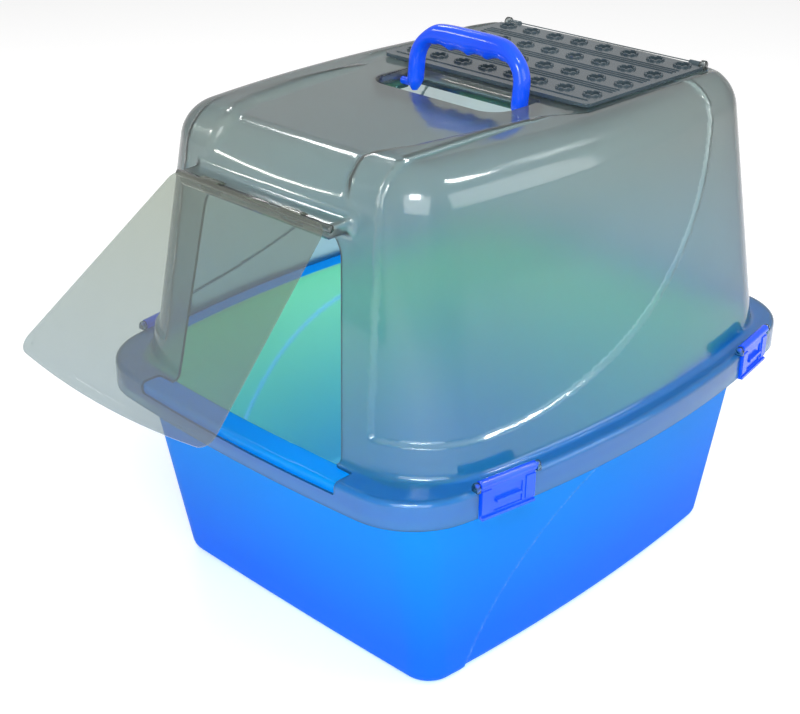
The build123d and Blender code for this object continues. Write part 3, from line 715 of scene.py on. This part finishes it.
def opened(x, y, z):
    """Positive where the hood's skin is kept, negative in its openings."""
    head_half, head = ENTRANCE_TOP
    jamb = (np.abs(x) - head_half - (head - z) * ENTRANCE_FLARE) * 0.99
    entrance = np.maximum(np.maximum(y + 190, SILL - z), rounded_corner(jamb, z - head, 20.0))
    gap = np.maximum(np.maximum(np.abs(x) - GAP_HALF, y - GAP_BACK), SILL - z)
    half, front, rear = WELL
    beside = np.abs(x) - half
    well = np.where(
        y < (front + rear) / 2,
        rounded_corner(beside, front - y, 22.0),
        rounded_corner(beside, y - rear, 5.0),
    )
    well = np.maximum(well, 420 - z)
    beside_hook = np.abs(np.abs(x) - HOOK_CENTRE) - HOOK_SLOT / 2
    hooks = np.maximum(beside_hook, np.hypot(y - HINGE[0], z - HINGE[1]) - HOOK_ROOM)
    aside = np.abs(x) - (RIM[0] - LATCH_INSET)
    ahead = np.abs(y) - LATCH_Y
    outwards = aside * cos(LATCH_TURN) + ahead * sin(LATCH_TURN)
    along = ahead * cos(LATCH_TURN) - aside * sin(LATCH_TURN)
    latch = np.maximum(-outwards - 4.6, np.abs(along) - LATCH_HALF)
    parts = (entrance, gap, well, hooks, latch, z - SKIRT_BOTTOM)
    kept = parts[0]
    for part in parts[1:]:
        kept = np.minimum(kept, part)
    return kept


def hood_skin():
    """The hood's shell, with the direction of its surface at every point."""
    low = (-RIM[0] - 4, -RIM[1] - 4, SKIRT_BOTTOM - 4)
    high = (RIM[0] + 4, RIM[1] + 4, ROOF_TOP + 4)
    points, triangles = polygonise(hood_outside, low, high, GRID_STEP)
    points, triangles = clip(points, triangles, opened)
    normals = slope_of(hood_outside, points)
    normals /= np.linalg.norm(normals, axis=1)[:, None]
    return thicken(points, triangles, normals, HOOD_WALL)


def well_skirt():
    """Upright wall round the hand well."""
    half, front, rear = WELL
    plan = []
    for cx, cy, radius, start in (
        (half - 5, rear - 5, 5, 0), (5 - half, rear - 5, 5, 90),
        (22 - half, front + 22, 22, 180), (half - 22, front + 22, 22, 270),
    ):
        for angle in np.radians(np.linspace(start, start + 90, 10)):
            c, s = cos(angle), sin(angle)
            plan.append((cx + radius * c, cy + radius * s, c, s))
    plan = np.array(plan)
    rings = []
    top, foot = CHANNEL_FLOOR - 0.3, CHANNEL_FLOOR - WELL_DEPTH
    for out, height in ((0.0, top), (0.0, foot), (HOOD_WALL, foot), (HOOD_WALL, top)):
        level = np.full((len(plan), 1), height)
        rings.append(np.hstack([plan[:, :2] + plan[:, 2:] * out, level]))
    return loft(rings[::-1], loop=True)


def slotted_plate(half_x, y_range, z_range, pitch, slot, count):
    """Flat plate with a grid of round-ended slots along X."""
    middle = sum(y_range) / 2
    parts = []
    angle = np.linspace(0, 2 * pi, 33)[:-1]
    c, s = np.cos(angle), np.sin(angle)
    stretch = np.sign(np.round(c, 6)) * (slot[0] - slot[1]) / 2
    hole = np.stack([c * slot[1] / 2 + stretch, s * slot[1] / 2], 1)
    square = np.stack([c, s], 1) / np.maximum(np.abs(c), np.abs(s))[:, None]
    cell = square * np.array(pitch) / 2
    for column in range(count[0]):
        for row in range(count[1]):
            across = (column - (count[0] - 1) / 2) * pitch[0]
            shift = np.array([across, middle + (row - (count[1] - 1) / 2) * pitch[1]])
            rings = []
            for ring, height in ((cell, 1), (hole, 1), (hole, 0), (cell, 0)):
                flat = ring + shift
                rings.append(np.hstack([flat, np.full((len(flat), 1), z_range[height])]))
            parts.append(loft(rings))
    edge_x = count[0] * pitch[0] / 2
    edge_y = count[1] * pitch[1] / 2
    for side in (-1, 1):
        beside = sorted((side * edge_x, side * half_x))
        parts.append(block(beside, y_range, z_range))
        ahead = (middle + edge_y, y_range[1]) if side > 0 else (y_range[0], middle - edge_y)
        parts.append(block((-edge_x, edge_x), ahead, z_range))
    return joined(parts)


def block(x, y, z):
    """Plain box, for ribs, lugs and walls a few millimetres thick."""
    plan = ((x[0], y[0]), (x[1], y[0]), (x[1], y[1]), (x[0], y[1]))
    corners = np.array([(a, b, c) for c in z for a, b in plan])
    faces = [(3, 2, 1, 0), (4, 5, 6, 7), (0, 1, 5, 4), (1, 2, 6, 5), (2, 3, 7, 6), (3, 0, 4, 7)]
    return corners, faces


def filter_well():
    """Open-topped box under the vent, with a slotted floor."""
    half, front, rear, floor = FILTER_WELL
    top = CHANNEL_FLOOR - HOOD_WALL
    wall = HOOD_WALL
    parts = [
        block((-half - wall, -half), (front - wall, rear + wall), (floor - wall, top)),
        block((half, half + wall), (front - wall, rear + wall), (floor - wall, top)),
        block((-half, half), (front - wall, front), (floor - wall, top)),
        block((-half, half), (rear, rear + wall), (floor - wall, top)),
        slotted_plate(half, (front, rear), (floor - wall, floor), (31, 14), (25, 7), (6, 9)),
    ]
    return joined(parts)


def hood_fittings():
    """Hinge bar, hinge lugs and pivot ears, all moulded with the hood."""
    parts = [rod((-EAVE_HALF, *HINGE), (EAVE_HALF, *HINGE), 3.0)]
    for side in (-1, 1):
        inner, outer = side * WELL[0], side * (WELL[0] + 3.4)
        middle = (inner + outer) / 2
        ear = (PIVOT[0], PIVOT[1] - 8), (PIVOT[0], CHANNEL_FLOOR - 1)
        parts.append(rounded_bar((middle, *ear[0]), (middle, *ear[1]), (1, 0, 0), 16, 3.4))
        lug = (side * 110.0, side * 114.5)
        parts.append(rod((lug[0], *VENT_HINGE), (lug[1], *VENT_HINGE), 4.6))
        parts.append(
            rounded_bar(
                (side * 112.25, VENT_HINGE[0], CHANNEL_FLOOR - 1), (side * 112.25, *VENT_HINGE),
                (1, 0, 0), 9.6, 4.5,
            )
        )
    out_x = RIM[0] - LATCH_INSET
    for side in (-1, 1):
        for end in (-1, 1):
            origin = np.array([side * out_x, end * LATCH_Y, 0.0])
            out = np.array([side * cos(LATCH_TURN), end * sin(LATCH_TURN), 0.0])
            along = np.array([-out[1], out[0], 0.0])
            axis = origin + out * LATCH_AXIS[0] + (0, 0, LATCH_AXIS[1])
            for start in (-LATCH_HALF - 4, LATCH_HALF):
                parts.append(rod(axis + along * start, axis + along * (start + 4), 3.1, 0.4))
                foot = axis + along * (start + 2) - (0, 0, LATCH_AXIS[1] - FLANGE_TOP + 1)
                parts.append(rounded_bar(foot, foot + (0, 0, 5), out, 4, 7.6, 8.0))
    return joined(parts)


skin_points, skin_faces, skin_normals = hood_skin()
extra_points, extra_faces = joined([well_skirt(), filter_well(), hood_fittings()])
hood_points, hood_faces = joined([(skin_points, skin_faces), (extra_points, extra_faces)])
hood_facing = np.vstack([skin_normals, np.zeros((len(extra_points), 3))])
hood_x, hood_y, hood_z = hood_points.T
# Weight of the highlight painted along the side panels' lower ledge, kept off the pillar crease.
beside_pillar = smooth_step(-pillar_crease(hood_x, hood_z), 0.0, 6.0)
hood_ledge_highlight = np.exp(-((panel_rim(hood_y, hood_z) / 1.9) ** 2)) * beside_pillar
hood_shell = add_mesh("hood_shell", hood_points, hood_faces, SMOKE, hood_facing, hood_ledge_highlight)
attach(hood_shell, "hood")
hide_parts("hood")


# ---------------------------------------------------------------- pan
def side_recess(y, z):
    """Distance outside the recess that sweeps along the rear of each long side."""
    arc = np.hypot(y - RECESS_MIDDLE[0], z - RECESS_MIDDLE[1]) - RECESS_RADIUS
    rise = ((z - RECESS_TOP[1]) * 40 - (y - RECESS_TOP[0]) * 53) / np.hypot(40, 53)
    return smooth_min(arc, rise, 6.0)


def pan_inside(x, y, z):
    """Surface of the pan that holds the litter, and of its rim from above."""
    share = z / PAN_MOUTH_HEIGHT
    width, length, corner = (a + (b - a) * share - PAN_WALL for a, b in zip(PAN_FOOT, PAN_MOUTH))
    width = width - RECESS_STEP * smooth_step(-side_recess(y, z), -1.3, 1.3)
    turns = [a + (b - a) * share for a, b in zip(PAN_FOOT_TURNS, RIM_TURNS)]
    wall = outline_distance(x, y, width, length, corner, turns)
    hollow = filleted(wall * 0.985, PAN_WALL - z, 9.0, 0.15)
    half_width, half_length, rim_corner = (v - PAN_RIM_INSET for v in RIM)
    rim = outline_distance(x, y, half_width, half_length, rim_corner, RIM_TURNS)
    return smooth_max(rounded_corner(rim, z - PAN_RIM_TOP, 2.6), -hollow, 3.5)


def above_lip(x, y, z):
    """Positive where the pan's skin is kept: all but what runs on below the rim's lip."""
    rim = outline_distance(x, y, *RIM, RIM_TURNS)
    return np.maximum(z - PAN_LIP_BOTTOM, -rim - 10.0)


def pan_skin():
    low = (-RIM[0] - 1, -RIM[1] - 1, -4)
    high = (RIM[0] + 1, RIM[1] + 1, PAN_RIM_TOP + 4)
    points, triangles = polygonise(pan_inside, low, high, GRID_STEP)
    points, triangles = clip(points, triangles, above_lip)
    normals = slope_of(pan_inside, points)
    normals /= np.linalg.norm(normals, axis=1)[:, None]
    return thicken(points, triangles, normals, PAN_WALL)


pan_points, pan_faces, pan_facing = pan_skin()
# Weight of the highlight painted along the step of each side recess, on the long sides below the
# rim.
on_side = np.abs(pan_points[:, 0]) > PAN_FOOT[0] - 12
below_rim = smooth_step(PAN_LIP_BOTTOM + 10 - pan_points[:, 2], 0, 6)
pan_ledge_highlight = np.exp(-((side_recess(*pan_points[:, 1:].T) / 1.7) ** 2)) * on_side * below_rim
pan_tub = add_mesh("pan_tub", pan_points, pan_faces, SEA_BLUE, pan_facing, pan_ledge_highlight)
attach(pan_tub, "pan")
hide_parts("pan")


# ---------------------------------------------------------------- carry handle
def handle_mesh():
    """Rounded bail with a bowed grip, four finger scallops, and pins at its tips."""
    leg = HANDLE_HALF - 6.0
    reach = HANDLE_TOP - PIVOT[1]
    bend = HANDLE_BEND
    line = [(-leg, h, 180.0) for h in np.linspace(-2.0, reach - 9.0 - bend, 12)[:-1]]
    for angle in np.linspace(180, 90, 18)[:-1]:
        a = radians(angle)
        line.append((-leg + bend + bend * cos(a), reach - 9.0 - bend + bend * sin(a), angle))
    line += [(x, reach - 9.0, 90.0) for x in np.linspace(bend - leg, 0, 34)]
    line = np.array(line)
    right = line[::-1][1:] * (-1, 1, -1) + (0, 0, 180)
    line = np.concatenate([line, right])
    c, s = superellipse(36, 2.6)
    rings = []
    count = len(line)
    for index, (x, height, angle) in enumerate(line):
        a = radians(angle)
        out = np.array([cos(a), sin(a)])
        grip = max(0.0, 1 - (abs(x) / 52.0) ** 4) * max(0.0, sin(a)) ** 6
        crown = 1.5 * grip
        swell = 5.5 + 3.5 * grip
        inner = 5.5 + 5.5 * grip
        if abs(x) < 42:
            phase = (abs(x) % 21.0) / 21.0
            inner -= 2.6 * abs(sin(pi * phase)) ** 0.8 * min(1.0, (42 - abs(x)) / 6.0)
        depth = 8.0
        tip = 1.0
        if index < 4 or index >= count - 4:
            step = min(index, count - 1 - index)
            tip = (0.35, 0.75, 0.93, 1.0)[step]
        width = np.where(c > 0, swell + crown, inner) * tip
        across = np.outer(c * width, np.array([out[0], 0.0, out[1]]))
        ahead = np.outer(s * depth * tip, np.array([0.0, 1.0, 0.0]))
        drop = (0.0, 0.0, -6.0 * (1 - tip) if tip < 1 else 0.0)
        rings.append(np.array([x, 0.0, height]) + drop + across + ahead)
    vertices, faces = loft(rings, True, True)
    y, z = vertices[:, 1].copy(), vertices[:, 2].copy()
    vertices[:, 1] = PIVOT[0] + y * cos(HANDLE_LEAN) + z * sin(HANDLE_LEAN)
    vertices[:, 2] = PIVOT[1] + z * cos(HANDLE_LEAN) - y * sin(HANDLE_LEAN)
    pins = [
        rod((side * (leg - 3), *PIVOT), (side * (WELL[0] + 3.2), *PIVOT), 3.5) for side in (-1, 1)
    ]
    return joined([(vertices, faces), *pins])


handle = add_mesh("carry_handle_bail", *handle_mesh(), BRIGHT_BLUE)
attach(handle, "handle")
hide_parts("carry_handle")


# ---------------------------------------------------------------- vent rims
def toothed_rings():
    """Castellated collars round the vent's holes."""
    parts = []
    section = (
        (VENT_HOLE, 0.5), (VENT_HOLE + 2.0, 0.5), (VENT_HOLE + 1.7, 1.7), (VENT_HOLE + 0.3, 1.7),
    )
    for column in range(VENT_GRID[0]):
        for row in range(VENT_GRID[1]):
            cx = (column - (VENT_GRID[0] - 1) / 2) * VENT_PITCH[0]
            cy = VENT_FIRST_ROW + row * VENT_PITCH[1]
            for tooth in range(8):
                middle = tooth * pi / 4 + 0.2
                rings = []
                for angle in np.linspace(middle - 0.24, middle + 0.24, 6):
                    c, s = cos(angle), sin(angle)
                    ring = [(cx + c * r, cy + s * r, VENT_PLATE + h) for r, h in section]
                    rings.append(np.array(ring))
                parts.append(loft(rings, True, True))
    return joined(parts)


vent_rims = add_mesh("vent_rims", *toothed_rings(), GRILLE)
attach(vent_rims, "vent")


# ---------------------------------------------------------------- floor
bpy.ops.mesh.primitive_plane_add(size=12.0, location=(0, 0, -0.0005))
floor = bpy.context.object
floor.name = "studio_floor"
floor.data.materials.append(floor_material())

# ---------------------------------------------------------------- camera
VIEW_AZIMUTH = radians(43.85)
VIEW_ELEVATION = radians(26.03)
VIEW_DISTANCE = 1.3789
VIEW_ROLL = radians(0.59)
VIEW_TARGET = Vector((-0.0360, -0.0346, 0.1829))
LENS = 67.49

away = Vector(
    (
        sin(VIEW_AZIMUTH) * cos(VIEW_ELEVATION),
        -cos(VIEW_AZIMUTH) * cos(VIEW_ELEVATION),
        sin(VIEW_ELEVATION),
    )
)
camera_data = bpy.data.cameras.new("camera")
camera_data.lens = LENS
camera_data.sensor_width = 36.0
camera = bpy.data.objects.new("camera", camera_data)
scene.collection.objects.link(camera)
camera.location = VIEW_TARGET + away * VIEW_DISTANCE
camera.rotation_mode = "QUATERNION"
camera.rotation_quaternion = (-away).to_track_quat("-Z", "Y") @ Quaternion((0, 0, 1), VIEW_ROLL)
scene.camera = camera


# ---------------------------------------------------------------- light
def softbox(name, place, aim, size, power, tint=(1.0, 1.0, 1.0)):
    """Rectangular area light at place, facing aim."""
    data = bpy.data.lights.new(name, "AREA")
    data.shape = "RECTANGLE"
    data.size, data.size_y = size
    data.energy = power
    data.color = tint
    light = bpy.data.objects.new(name, data)
    scene.collection.objects.link(light)
    light.location = place
    light.rotation_mode = "QUATERNION"
    light.rotation_quaternion = (Vector(aim) - Vector(place)).to_track_quat("-Z", "Y")
    return light


SHOULDER_POINT = Vector((0.135, -0.180, 0.425))


def reflected(name, towards, distance, size, power, tint=(1.0, 1.0, 1.0)):
    """Softbox that the hood's near shoulder sees in that direction."""
    place = SHOULDER_POINT + Vector(towards).normalized() * distance
    return softbox(name, place, SHOULDER_POINT, size, power, tint)


reflected("window_front", (0.48, -0.59, 0.64), 2.2, (0.72, 0.50), 20)
reflected("window_rear", (0.42, 0.53, 0.74), 2.2, (0.16, 0.32), 8)
reflected("strip_left", (-0.74, -0.54, 0.38), 2.4, (0.50, 0.16), 6, (1.0, 0.97, 0.90))
reflected("strip_top", (-0.70, 0.27, 0.66), 2.4, (0.50, 0.20), 6)
softbox("fill", (1.7, -1.9, 1.35), (0, 0, 0.2), (2.2, 2.0), 40)
softbox("fill_side", (2.6, 1.6, 1.3), (0, 0, 0.2), (1.6, 1.6), 18)

world = bpy.data.worlds.new("studio")
world.use_nodes = True
scene.world = world
tree = world.node_tree
backdrop = tree.nodes["Background"]
path = tree.nodes.new("ShaderNodeLightPath")
level = tree.nodes.new("ShaderNodeMapRange")
level.inputs["To Min"].default_value = 0.60
level.inputs["To Max"].default_value = 1.0
tree.links.new(path.outputs["Is Camera Ray"], level.inputs["Value"])
tree.links.new(level.outputs[0], backdrop.inputs["Strength"])
backdrop.inputs["Color"].default_value = (1.0, 1.0, 1.0, 1.0)

scene.view_settings.view_transform = "Standard"
if hasattr(scene, "cycles"):
    scene.cycles.transparent_max_bounces = 32
